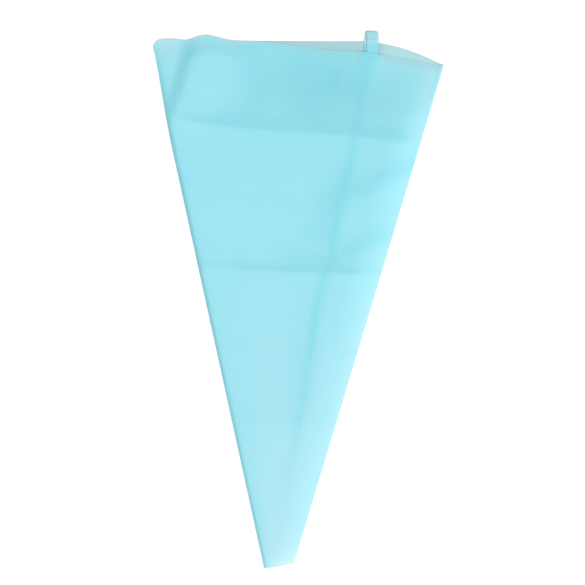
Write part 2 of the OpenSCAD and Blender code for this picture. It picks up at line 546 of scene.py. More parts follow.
@dataclass
class FilmGrid:
    """The film as rows round the bag, from the tip to the rim.

    Args:
        shape: How the film lies.
        front_columns: Steps across the front wall.
        back_columns: Steps across the back wall.
        turn_columns: Steps round each side fold.
        rows: Steps from the tip to the rim.
        front_crowding: How much closer together the front wall's columns are by the folds.
        back_crowding: The same for the back wall.
    """

    shape: FilmShape
    front_columns: int = 132
    back_columns: int = 72
    turn_columns: int = 5
    rows: int = 330
    front_crowding: float = 0.55
    back_crowding: float = 0.2
    # Each point's place as in FilmShape, then its middle layer, normal and both faces in metres
    share: Array = field(init=False)
    out: Array = field(init=False)
    is_front: Array = field(init=False)
    middle: Array = field(init=False)
    normal: Array = field(init=False)
    outer: Array = field(init=False)
    inner: Array = field(init=False)

    def __post_init__(self) -> None:
        """Works out the middle layer and both faces."""
        share, turn, is_front = self.columns()
        v = np.linspace(0.0, 1.0, self.rows + 1)[:, None]
        shape = self.shape
        low = np.where(is_front, shape.tip_at(share, True), shape.tip_at(share, False))
        high = np.where(is_front, shape.rim_at(share, True), shape.rim_at(share, False))
        out = low + (high - low) * v
        wide = np.broadcast_to(share, out.shape)
        height = np.where(is_front, shape.front(wide, out), shape.back(wide, out))
        fold = np.sign(wide)
        centre = (shape.front(fold, out) + shape.back(fold, out)) / 2.0
        on_turn = ~np.isnan(turn)
        swing = np.where(on_turn, np.nan_to_num(turn), 0.0)
        height = np.where(on_turn, centre + shape.fold_radius * np.sin(swing), height)
        bulge = np.where(on_turn, shape.fold_radius * np.cos(swing) * fold, 0.0)
        angle = shape.pull(wide, out) * shape.bag.half_angle
        x = out * np.sin(angle) + bulge
        y = shape.bag.apex_y / MM + out * np.cos(angle)
        self.out, self.share, self.is_front = out, wide, np.broadcast_to(is_front | on_turn, out.shape)
        self.middle = np.stack([x, y, height], axis=-1) * MM
        self.normal = self.grid_normals()
        below = shape.rim_at(wide, True) - out
        kept = np.where(is_front, shape.rest.thickness(below), 1.0)[..., None]
        half = kept * (shape.bag.film / 2.0)
        self.outer = self.middle + self.normal * half
        self.inner = self.middle - self.normal * half
        self.outer[..., 2] = np.maximum(self.outer[..., 2], 0.0)

    def crowded(self, steps: int, crowding: float) -> Array:
        """Places from the left fold to the right one, closer together by the folds."""
        s = np.linspace(-1.0, 1.0, steps + 1)
        return (1.0 - crowding) * s + crowding * np.sin(s * math.pi / 2.0)

    def columns(self) -> tuple[Array, Array, Array]:
        """Each column's share of the width, its angle round a side fold or nan, and if it's on the front."""
        front = self.crowded(self.front_columns, self.front_crowding)
        back = self.crowded(self.back_columns, self.back_crowding)[::-1]
        swing = np.linspace(math.pi / 2.0, -math.pi / 2.0, self.turn_columns + 2)[1:-1]
        share = np.concatenate([front, np.ones(len(swing)), back, -np.ones(len(swing))])
        flat_front, flat_back = np.full(len(front), np.nan), np.full(len(back), np.nan)
        turn = np.concatenate([flat_front, swing, flat_back, swing[::-1]])
        is_front = np.arange(len(share)) < len(front)
        return share[None, :], turn[None, :], is_front[None, :]

    def grid_normals(self) -> Array:
        """Unit normals of the middle layer, out of the bag."""
        around = np.roll(self.middle, -1, axis=1) - np.roll(self.middle, 1, axis=1)
        along = np.gradient(self.middle, axis=0)
        n = np.cross(around, along)
        return n / np.maximum(np.linalg.norm(n, axis=-1, keepdims=True), np.finfo(float).tiny)

    def row_at(self, out: float) -> int:
        """The row that is nearest to that distance from the apex, in millimetres, on the centre line."""
        middle = self.front_columns // 2
        return int(np.argmin(np.abs(self.out[:, middle] - out)))

    def stretch(self, name: str, first: int, last: int, masks: dict[Mask, Array]) -> bpy.types.Object:
        """A closed shell of the film between two rows.

        Args:
            name: The piece's name.
            first: Its first row.
            last: Its last row.
            masks: What the finish needs, over the whole grid.

        Returns:
            The piece.
        """
        rows, columns = last - first + 1, self.middle.shape[1]
        cut = slice(first, last + 1)
        points = np.concatenate([self.outer[cut].reshape(-1, 3), self.inner[cut].reshape(-1, 3)])
        normals = np.concatenate([self.normal[cut].reshape(-1, 3), -self.normal[cut].reshape(-1, 3)])
        index = np.arange(rows * columns).reshape(rows, columns)
        here, right = index[:-1], np.roll(index, -1, axis=1)[:-1]
        above, above_right = index[1:], np.roll(index, -1, axis=1)[1:]
        skin = np.stack([here, right, above_right, above], axis=-1).reshape(-1, 4)
        deep = skin[:, ::-1] + rows * columns
        edges = []
        for row, flip in ((index[0], True), (index[-1], False)):
            beside = np.roll(row, -1)
            quad = np.stack([row, beside, beside + rows * columns, row + rows * columns], axis=-1)
            edges.append(quad[:, ::-1] if flip else quad)
        faces = np.concatenate([skin, deep, *edges])
        piece = mesh_piece(name, points, faces, normals)
        store(piece, {mask: np.concatenate([values[cut], values[cut]]) for mask, values in masks.items()})
        return piece


def mesh_piece(name: str, points: Array, faces: Array, normals: Array | None = None) -> bpy.types.Object:
    """A smooth mesh object from points and quads.

    Args:
        name: The piece's name.
        points: Its points, in metres.
        faces: Four point numbers for each face.
        normals: A normal for each point, or None for the mesh's own.

    Returns:
        The object, linked into the scene.
    """
    mesh = bpy.data.meshes.new(name)
    mesh.from_pydata(points.tolist(), [], faces.tolist())
    mesh.validate()
    mesh.shade_smooth()
    if normals is not None:
        mesh.normals_split_custom_set_from_vertices(normals.tolist())
    piece = bpy.data.objects.new(name, mesh)
    bpy.context.scene.collection.objects.link(piece)
    return piece


def strip_piece(name: str, rings: Array, turned: bool = False) -> bpy.types.Object:
    """A closed strip from rings of points, capped at both ends.

    Args:
        name: The piece's name.
        rings: The points of each ring, in metres.
        turned: If the rings run round the other way.

    Returns:
        The piece.
    """
    rows, count = rings.shape[:2]
    index = np.arange(rows * count).reshape(rows, count)
    beside = np.roll(index, -1, axis=1)
    sides = np.stack([index[:-1], index[1:], beside[1:], beside[:-1]], axis=-1).reshape(-1, 4)
    pairs = [(i, i + 1, count - 2 - i, count - 1 - i) for i in range(count // 2 - 1)]
    caps = [index[0][list(pair)] for pair in pairs] + [index[-1][list(pair[::-1])] for pair in pairs]
    faces = np.concatenate([sides, np.array(caps)])
    return mesh_piece(name, rings.reshape(-1, 3), faces[:, [0, 3, 2, 1]] if turned else faces)


def store(piece: bpy.types.Object, masks: dict[Mask, Array]) -> None:
    """Keeps masks on a piece's points, for its finish."""
    for mask, values in masks.items():
        attribute = piece.data.attributes.new(mask.value, "FLOAT", "POINT")
        attribute.data.foreach_set("value", values.ravel().astype(np.float32))


# ---------------------------------------------------------------- finishes


class Shade:
    """A number's socket in a node tree. Sums and products of it add Math nodes."""

    def __init__(self, tree: "Tree", socket: bpy.types.NodeSocket) -> None:
        """Wraps one socket."""
        self.tree = tree
        self.socket = socket

    def math(self, operation: str, *others: "Shade | float") -> "Shade":
        """This and the others through one Math node."""
        return self.tree.math(operation, self, *others)

    def __add__(self, other: "Shade | float") -> "Shade":
        """The sum."""
        return self.math("ADD", other)

    __radd__ = __add__

    def __sub__(self, other: "Shade | float") -> "Shade":
        """The difference."""
        return self.math("SUBTRACT", other)

    def __rsub__(self, other: float) -> "Shade":
        """The difference from a number."""
        return self.tree.math("SUBTRACT", other, self)

    def __mul__(self, other: "Shade | float") -> "Shade":
        """The product."""
        return self.math("MULTIPLY", other)

    __rmul__ = __mul__

    def kept(self) -> "Shade":
        """The same, held between 0 and 1."""
        return self.math("MINIMUM", 1.0).math("MAXIMUM", 0.0)


class Tree:
    """A material's node tree under construction."""

    def __init__(self, name: str) -> None:
        """Starts an empty material."""
        self.material = bpy.data.materials.new(name)
        self.material.use_nodes = True
        self.nodes = self.material.node_tree.nodes
        self.links = self.material.node_tree.links
        self.nodes.clear()

    def node(
        self, kind: str, settings: dict[str, Any] | None = None, sockets: dict[str | int, Any] | None = None
    ) -> bpy.types.Node:
        """Adds a node.

        Args:
            kind: Its type.
            settings: Its own settings, set first.
            sockets: The values or links of its inputs, by name or number.

        Returns:
            The node.
        """
        made = self.nodes.new(kind)
        for key, value in (settings or {}).items():
            setattr(made, key, value)
        for key, value in (sockets or {}).items():
            if isinstance(value, Shade):
                value = value.socket
            if isinstance(value, bpy.types.NodeSocket):
                self.links.new(value, made.inputs[key])
            else:
                made.inputs[key].default_value = value
        return made

    def math(self, operation: str, *values: Shade | float) -> Shade:
        """A Math node over the values."""
        made = self.node("ShaderNodeMath", {"operation": operation}, dict(enumerate(values)))
        return Shade(self, made.outputs[0])

    def attribute(self, mask: Mask) -> Shade:
        """One of the film's masks."""
        return Shade(self, self.node("ShaderNodeAttribute", {"attribute_name": mask.value}).outputs["Fac"])

    def place(self) -> bpy.types.NodeSocket:
        """The point's place in the piece."""
        return self.node("ShaderNodeTexCoord").outputs["Object"]

    def noise(self, scale: float, detail: float = 2.0, roughness: float = 0.5) -> Shade:
        """Noise over the piece, from 0 to 1."""
        made = self.node(
            "ShaderNodeTexNoise",
            {},
            {"Vector": self.place(), "Scale": scale, "Detail": detail, "Roughness": roughness},
        )
        return Shade(self, made.outputs["Fac"])

    def mix(self, amount: Shade | float, first: Any, second: Any) -> bpy.types.NodeSocket:
        """Two colours mixed by amount."""
        # A Mix node's sockets go by number, since its factor and colours share their names with others
        made = self.node("ShaderNodeMix", {"data_type": "RGBA"}, {0: amount, 6: first, 7: second})
        return made.outputs[2]

    def bump(self, height: Shade, strength: float, distance: float) -> bpy.types.NodeSocket:
        """A normal bent by a height."""
        sockets = {"Height": height, "Strength": strength, "Distance": distance}
        return self.node("ShaderNodeBump", {}, sockets).outputs["Normal"]

    def done(self, surface: bpy.types.Node) -> bpy.types.Material:
        """The material, with that shader as its surface."""
        self.node("ShaderNodeOutputMaterial", {}, {"Surface": surface.outputs[0]})
        return self.material

    def lit_through(
        self, body: dict[str | int, Any], glow: dict[str | int, Any], share: float
    ) -> bpy.types.Material:
        """A surface that lets some light through.

        Args:
            body: The sockets of its Principled shader.
            glow: The sockets of its Translucent one.
            share: How much of it is translucent.

        Returns:
            The material.
        """
        solid = self.node("ShaderNodeBsdfPrincipled", {}, body).outputs[0]
        through = self.node("ShaderNodeBsdfTranslucent", {}, glow).outputs[0]
        return self.done(self.node("ShaderNodeMixShader", {}, {0: share, 1: solid, 2: through}))


@dataclass(frozen=True)
class FilmFinish:
    """Soft satin film, cloudy enough that a second layer under it shows as a deeper tone, with painted shade
    beside its creases and painted highlight on its right side.
    """

    name: str = "cloudy_film"
    film: Colour = (0.330, 0.755, 0.830, 1.0)
    cloudy: Colour = (0.360, 0.750, 0.838, 1.0)
    cloud_scale: float = 9.0
    cloud_contrast: float = 1.6
    # Paler film, and the colour of the painted highlight on the right side and along the hump
    pale: Colour = (0.620, 0.830, 0.880, 1.0)
    pale_share: float = 0.42
    # Painted shade: the colour laid beside the creases, across the mouth panel and along the left fold
    crease_shade: Colour = (0.228, 0.675, 0.762, 1.0)
    crease_least: float = 0.55
    crease_more: float = 0.5
    deep: Colour = (0.240, 0.700, 0.780, 1.0)
    deep_scale: float = 22.0
    deep_least: float = 0.25
    deep_more: float = 0.9
    tail: Colour = (0.245, 0.730, 0.830, 1.0)
    single: Colour = (0.418, 0.622, 0.638, 1.0)
    glow: Colour = (0.44, 0.86, 0.92, 1.0)
    glow_share: float = 0.34
    # Noise scale of the roughness's spread and of the painted shade's patches
    rough_and_shade_scale: float = 60.0
    roughness: float = 0.46
    roughness_spread: float = 0.10
    specular: float = 0.38
    grain_scales: Span = (1900.0, 420.0)
    grain_shares: Span = (0.6, 0.4)
    grain_strength: float = 0.10
    grain_height: float = 0.12 * MM

    def build(self) -> bpy.types.Material:
        """The material."""
        tree = Tree(self.name)
        cloud = (tree.noise(self.cloud_scale, detail=3.0) - 0.5) * self.cloud_contrast + 0.5
        colour = tree.mix(cloud.kept(), self.film, self.cloudy)
        colour = tree.mix((tree.attribute(Mask.PALE_AND_LIT) * self.pale_share).kept(), colour, self.pale)
        # Painted shade beside the creases, in the mouth panel and along the left fold, made patchy by noise
        shade_patches = self.crease_least + self.crease_more * tree.noise(self.rough_and_shade_scale, detail=3.0)
        colour = tree.mix((tree.attribute(Mask.PAINTED_SHADE) * shade_patches).kept(), colour, self.crease_shade)
        under = self.deep_least + self.deep_more * tree.noise(self.deep_scale)
        colour = tree.mix((tree.attribute(Mask.SEAM) * under).kept(), colour, self.deep)
        colour = tree.mix(tree.attribute(Mask.TAIL).kept(), colour, self.tail)
        colour = tree.mix(tree.attribute(Mask.SINGLE).kept(), colour, self.single)
        rough = self.roughness + self.roughness_spread * (tree.noise(self.rough_and_shade_scale) - 0.5)
        fine, coarse = (tree.noise(scale) * kept for scale, kept in zip(self.grain_scales, self.grain_shares))
        normal = tree.bump(fine + coarse, self.grain_strength, self.grain_height)
        body = {"Base Color": colour, "Roughness": rough, "Normal": normal}
        body["Specular IOR Level"] = self.specular
        return tree.lit_through(body, {"Color": self.glow, "Normal": normal}, self.glow_share)


@dataclass(frozen=True)
class StripFinish:
    """Film strip welded in double, a shade deeper, with a fine pressed grain along the weld. Its edge colour
    is painted light on the loop's lower ply, where the upper ply shades it.
    """

    name: str
    light: Colour
    dark: Colour
    tone_scale: float = 55.0
    lapped: Colour = (0.270, 0.660, 0.748, 1.0)
    # Painted light: a lighter colour on the loop's lower ply, where the upper ply shades it
    edge: Colour = (0.60, 0.86, 0.90, 1.0)
    glow: Colour = (0.44, 0.86, 0.92, 1.0)
    glow_share: float = 0.25
    weld_scale: float = 150.0
    weld_waver: float = 0.6
    grain_scale: float = 900.0
    grain_share: float = 0.5
    grain_strength: float = 0.12
    grain_height: float = 0.15 * MM
    roughness: float = 0.42
    roughness_spread: float = 0.08
    specular: float = 0.4

    def build(self) -> bpy.types.Material:
        """The material."""
        tree = Tree(self.name)
        colour = tree.mix(tree.noise(self.tone_scale, detail=3.0), self.light, self.dark)
        colour = tree.mix(tree.attribute(Mask.TAIL).kept(), colour, self.lapped)
        # Painted light on the lower ply's edge, in the upper ply's shade
        colour = tree.mix(tree.attribute(Mask.PALE_AND_LIT).kept(), colour, self.edge)
        wave = tree.node(
            "ShaderNodeTexWave",
            {"wave_type": "BANDS", "bands_direction": "Y"},
            {"Vector": tree.place(), "Scale": self.weld_scale, "Distortion": self.weld_waver},
        )
        weld = Shade(tree, wave.outputs["Fac"]) * (1.0 - self.grain_share)
        pressed = weld + tree.noise(self.grain_scale) * self.grain_share
        body = {
            "Base Color": colour,
            "Roughness": self.roughness + self.roughness_spread * (tree.noise(self.weld_scale) - 0.5),
            "Normal": tree.bump(pressed, self.grain_strength, self.grain_height),
            "Specular IOR Level": self.specular,
        }
        return tree.lit_through(body, {"Color": self.glow}, self.glow_share)


@dataclass(frozen=True)
class TableFinish:
    """A plain pale table top."""

    name: str = "pale_table"
    colour: Colour = (0.96, 0.96, 0.96, 1.0)
    roughness: float = 0.75
    specular: float = 0.1

    def build(self) -> bpy.types.Material:
        """The material."""
        tree = Tree(self.name)
        body = {"Base Color": self.colour, "Roughness": self.roughness, "Specular IOR Level": self.specular}
        return tree.done(tree.node("ShaderNodeBsdfPrincipled", {}, body))


# ---------------------------------------------------------------- sub-assemblies


@dataclass
class SeamLine:
    """The lap seam's centre line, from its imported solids."""

    mouth: Array = field(init=False)
    tip: Array = field(init=False)
    lean: float = field(init=False)
    width: float = field(init=False)

    def __post_init__(self) -> None:
        """Reads the line off the seam's end nodes. Each solid leans, so its box is wider than the strip."""
        top_lo, top_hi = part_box("mouth_seam")
        low_lo, low_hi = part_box("tip_seam")
        self.lean = (top_hi.x - low_hi.x) / (top_hi.y - low_hi.y)
        self.width = (top_hi.x - top_lo.x) - (top_hi.y - top_lo.y) * self.lean
        self.mouth = np.array([top_hi.x - self.width / 2.0, top_hi.y])
        self.tip = np.array([low_lo.x + self.width / 2.0, low_lo.y])

    def across(self, y: Array) -> Array:
        """The centre line's x at each y."""
        share = (y - self.tip[1]) / (self.mouth[1] - self.tip[1])
        return self.tip[0] + (self.mouth[0] - self.tip[0]) * share


@dataclass(frozen=True)
class Stretch:
    """One stretch of the film or the seam, which spans one fold.

    Args:
        part: Which stretch it is.
        below: The body on the tip's side of the fold.
        above: The body on the mouth's side.
        bend_reach: How far on either side of the joint its fold's ends lie, in metres.
    """

    part: str
    below: Body
    above: Body
    bend_reach: float = 15 * MM

    def fold(self) -> Fold:
        """Its fold."""
        return Fold.of_joint(f"{self.part}_fold")

    def dress(self, piece: bpy.types.Object, kind: str, finish: bpy.types.Material) -> None:
        """Gives a piece its finish and lets it stand for its two nodes.

        Args:
            piece: The piece.
            kind: What it is a stretch of, as the nodes are named.
            finish: Its material.
        """
        piece.data.materials.append(finish)
        start, end = self.fold().ends(self.bend_reach)
        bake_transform(piece)
        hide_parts(f"{self.below.value}_{kind}", f"{self.above.value}_{kind}")


STRETCHES = (
    Stretch("mouth", Body.UPPER, Body.MOUTH),
    Stretch("middle", Body.LOWER, Body.UPPER),
    Stretch("tip", Body.TIP, Body.LOWER),
)


def stretch_cuts() -> tuple[float, float]:
    """The y halfway between the mouth and middle folds, and between the middle and tip folds."""
    mouth, middle, tip = (float(stretch.fold().centre[1]) for stretch in STRETCHES)
    return (mouth + middle) / 2.0, (middle + tip) / 2.0


@dataclass
class FilmCone:
    """The film, in three stretches that meet between the folds.

    A span gives where something starts and where it is whole. Down the bag that is a distance from the
    apex in millimetres, and across it a share of the half width, unless its comment says otherwise.
    """

    bag: BagMeasures
    seam: SeamLine
    # Millimetres that the seam stands to the right of its straight line
    seam_wander: Knots = (
        (100, 0), (170, -1.2), (215, -2.8), (233, -1.8), (243, 1.0), (262, -0.8),
        (288, -0.4), (314, 1.2), (340, 0.6), (394, 0),
    )
    seam_depth: float = 0.75
    # In half widths of the seam
    seam_edge: Span = (0.35, 2.3)
    seam_shows: Span = (60.0, 150.0)
    seam_deepens: Span = (120.0, 220.0)
    seam_shallow: float = 0.55
    # In half widths of the loop
    tail_edge: Span = (0.72, 1.1)
    # Metres up from the tail's end
    tail_start: Span = (-3 * MM, 2 * MM)
    # Millimetres past the front wall's rim or cut
    bare_edge: Span = (-0.8, 0.6)
    beyond_loop: Span = (0.54, 0.62)
    single_beyond: float = 0.55
    # How far one ply shows through below the rim, in millimetres, and how much more it is beyond the loop
    rim_reach: float = 2.6
    rim_reach_more: float = 1.6
    rim_right: Span = (-0.25, 0.1)
    rim_depths: Span = (0.45, 0.2)
    lobe: Span = (-0.86, -0.76)
    lobe_pale: float = 1.4
    lobe_single: float = 0.3
    # Millimetres that the paler film reaches in from the rim, and from the cut at the tip
    pale_reach: float = 9.0
    pale_by_end: float = 1.2
    pale_by_rim: float = 0.45
    pale_along: Knots = ((36, 1.2), (90, 0.92), (134, 0.62), (220, 0.32), (300, 0.02))
    pale_left: Span = (0.2, 0.9)
    pale_left_loss: float = 0.3
    # Millimetres across the bag, at heights along it, where the painted highlight on the right side starts
    highlight_border: Knots = (
        (36, -9), (67, -3), (87, 3), (110, 14), (134, 24), (180, 36), (236, 53), (300, 69), (394, 86),
    )
    highlight_border_edge: Span = (-5.0, 10.0)
    highlight_fades: Span = (220.0, 300.0)
    highlight_loss: float = 0.35
    # A painted highlight along the hump's right flank, leaning with the mouth roll
    hump_highlight_at: float = -0.52
    hump_highlight_half: float = 0.15
    hump_highlight_depth: float = 0.14
    hump_highlight_starts: Span = (331.0, 345.0)
    # Painted shade across the mouth panel: where it starts, its depth by share of the half width, and how it
    # changes down the panel
    panel_starts: Span = (331.0, 338.0)
    panel_shade: Knots = (
        (-0.5, 0.0), (-0.42, 0.25), (-0.3, 0.45), (-0.22, 0.3), (-0.12, 0.35), (0.0, 0.55), (0.22, 0.64),
        (0.35, 0.54), (0.45, 0.45), (0.62, 0.22), (0.8, 0.12), (0.92, 0.04), (1.0, 0.0),
    )
    panel_deepens: Span = (345.0, 370.0)
    panel_fades: Span = (376.0, 392.0)
    panel_change: float = 0.2
    # The painted shade along the left fold, and its reach in millimetres
    left_fold_shade: float = 0.7
    left_reach: float = 3.0

    def seam_mask(self, grid: FilmGrid) -> Array:
        """Where the seam shows through the front wall."""
        x, y = grid.middle[..., 0], grid.middle[..., 1]
        touch = self.seam.across(y) + smooth_through(self.seam_wander, grid.out) * MM
        off = np.abs(x - touch) / (self.seam.width / 2.0)
        strip = self.seam_depth * (1.0 - smooth_step(off, *self.seam_edge))
        tone = self.seam_shallow + (1.0 - self.seam_shallow) * smooth_step(grid.out, *self.seam_deepens)
        return strip * smooth_step(grid.out, *self.seam_shows) * tone * grid.is_front

    def tail_mask(self, grid: FilmGrid) -> Array:
        """Where the loop's tail lies inside the film."""
        x, y = grid.middle[..., 0], grid.middle[..., 1]
        low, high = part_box("loop_tail")
        beside = np.abs(x - (low.x + high.x) / 2.0) / ((high.x - low.x) / 2.0)
        start, whole = self.tail_start
        return (1.0 - smooth_step(beside, *self.tail_edge)) * smooth_step(y, low.y + start, low.y + whole)

    def pale_mask(self, grid: FilmGrid, at_ends: Array) -> Array:
        """Where the film is paler, given how much more it is so at its rims and ends, with painted highlight
        down its right side and along the hump.
        """
        out, share = grid.out, grid.share
        pale = smooth_through(self.pale_along, out)
        pale = pale * (1.0 - self.pale_left_loss * smooth_step(-share, *self.pale_left))
        across, along = grid.shape.flat_place(share, out)
        # Painted highlight: the right side, which faces the key light, is made paler
        right = smooth_step(across - smooth_through(self.highlight_border, along), *self.highlight_border_edge)
        right = right * (1.0 - self.highlight_loss * smooth_step(out, *self.highlight_fades))
        roll = grid.shape.roll
        # Painted highlight along the hump's right flank
        hump_highlight = share - self.hump_highlight_at + roll.lean * (self.bag.rim / MM - out) / roll.depth
        hump_highlight = np.exp(-((hump_highlight / self.hump_highlight_half) ** 2)) * smooth_step(out, *self.hump_highlight_starts)
        return np.maximum(pale, right) + self.hump_highlight_depth * hump_highlight + at_ends

    def painted_shade_mask(self, grid: FilmGrid) -> Array:
        """Painted shade on the front wall beside its creases, in the mouth panel and along the left fold."""
        out = grid.out
        fold = smooth_step(out, *self.panel_starts) * smooth_through(self.panel_shade, grid.share)
        fold = fold * (1.0 - self.panel_change * (1.0 - smooth_step(out, *self.panel_deepens)))
        fold = fold * (1.0 - self.panel_change * smooth_step(out, *self.panel_fades))
        across, along = grid.shape.flat_place(grid.share, out)
        for tone in grid.shape.painted_shades():
            fold = np.maximum(fold, tone.value(across, along))
        left_gap = (1.0 + grid.share) * out * self.bag.half_angle
        return np.maximum(fold, self.left_fold_shade * fade_out(left_gap, self.left_reach)) * grid.is_front

    def masks(self, grid: FilmGrid) -> dict[Mask, Array]:
        """What the film's finish needs to know at each point.

        Args:
            grid: The film.

        Returns:
            The masks.
        """
        out, share = grid.out, grid.share
        tail = self.tail_mask(grid)
        below_rim = grid.shape.rim_at(share, True) - out
        above_tip = out - grid.shape.tip_at(share, True)
        bare = smooth_step(np.maximum(-below_rim, -above_tip), *self.bare_edge) * ~grid.is_front
        beyond = smooth_step(share, *self.beyond_loop)
        near_rim = fade_out(below_rim, self.rim_reach + self.rim_reach_more * beyond)
        least, more = self.rim_depths
        rim_depth = least + more * smooth_step(share, *self.rim_right)
        single = bare * (1.0 - (1.0 - self.single_beyond) * beyond)
        single = single + near_rim * grid.is_front * (1.0 - tail) * rim_depth
        beside_rim = fade_out(below_rim, self.pale_reach)
        upper_left = (1.0 - smooth_step(share, *self.lobe)) * beside_rim
        at_ends = self.pale_by_end * (fade_out(above_tip, self.pale_reach) + bare * beyond)
        at_ends = at_ends + self.lobe_pale * upper_left + self.pale_by_rim * beside_rim * beyond
        return {
            Mask.SEAM: self.seam_mask(grid),
            Mask.TAIL: tail * grid.is_front,
            Mask.SINGLE: np.maximum(single, self.lobe_single * upper_left),
            Mask.PAINTED_SHADE: self.painted_shade_mask(grid),
            Mask.PALE_AND_LIT: self.pale_mask(grid, at_ends),
        }

    def build(self) -> list[bpy.types.Object]:
        grid = FilmGrid(FilmShape(self.bag))
        masks = self.masks(grid)
        upper_cut, lower_cut = (grid.row_at((y - self.bag.apex_y) / MM) for y in stretch_cuts())
        rows = ((upper_cut, grid.rows), (lower_cut, upper_cut), (0, lower_cut))
        finish = FilmFinish().build()
        made = []
        for stretch, (first, last) in zip(STRETCHES, rows):
            piece = grid.stretch(f"film_{stretch.part}_part", first, last, masks)
            stretch.dress(piece, "film", finish)
            near, far = (grid.out[row, grid.front_columns // 2] * MM for row in (first, last))
            size, area = self.bag.flat_stretch(near, far)
            log.info("%s: %.0f by %.0f mm flat", piece.name, size[0] / MM, size[1] / MM)
            made.append(piece)
        return made


@dataclass
class LapSeam:
    """The welded strip inside the back wall, in three stretches like the film.

    Args:
        bag: The cone's measures.
        seam: Its centre line.
        light: The finish's lighter colour.
        dark: Its darker one.
        steps: Steps along each stretch.
        rounding: The width of its rounded edges, in films.
        flat_share: The share of its width between them that is flat on top.
        thickness: Its thickness, in films.
        sides: The heights of its edges, from the back wall up, as shares of the thickness.
        tip_gap: How far above the tip it starts.
    """

    bag: BagMeasures
    seam: SeamLine
    light: Colour = (0.20, 0.57, 0.67, 1.0)
    dark: Colour = (0.17, 0.53, 0.63, 1.0)
    steps: int = 120
    rounding: float = 0.35
    flat_share: float = 0.4
    thickness: float = 0.9
    sides: tuple[float, float, float] = (0.04, 0.6, 0.95)
    tip_gap: float = 1.5 * MM

    def strip(self, name: str, low: float, high: float) -> bpy.types.Object:
        """One stretch of the strip, with rounded long edges.

        Args:
            name: The piece's name.
            low: Its lower end's y, in metres.
            high: Its upper end's y.

        Returns:
            The piece.
        """
        film = self.bag.film
        half = self.seam.width / 2.0
        foot, side, top = self.sides
        left = [(-half, foot), (-half, side), (-half + film * self.rounding, top)]
        left.append((-half * self.flat_share, 1.0))
        profile = left + [(-x, z) for x, z in left[::-1]]
        y = np.linspace(low, high, self.steps + 1)
        x = self.seam.across(y)
        floor = film + slack((y - self.bag.apex_y) / MM) * MM
        rings = [np.stack([x + px, y, floor + film * self.thickness * pz], axis=-1) for px, pz in profile]
        return strip_piece(name, np.stack(rings, axis=1))

    def build(self) -> list[bpy.types.Object]:
        """Makes the stretches, one for each stretch of the film."""
        finish = StripFinish("seam_film", self.light, self.dark).build()
        upper, lower = stretch_cuts()
        top, bottom = float(self.seam.mouth[1]), float(self.seam.tip[1]) + self.tip_gap
        made = []
        for stretch, (low, high) in zip(STRETCHES, ((upper, top), (lower, upper), (bottom, lower))):
            piece = self.strip(f"seam_{stretch.part}_part", low, high)
            stretch.dress(piece, "seam", finish)
            log.info("%s: %.0f mm long", piece.name, (high - low) / MM)
            made.append(piece)
        return made


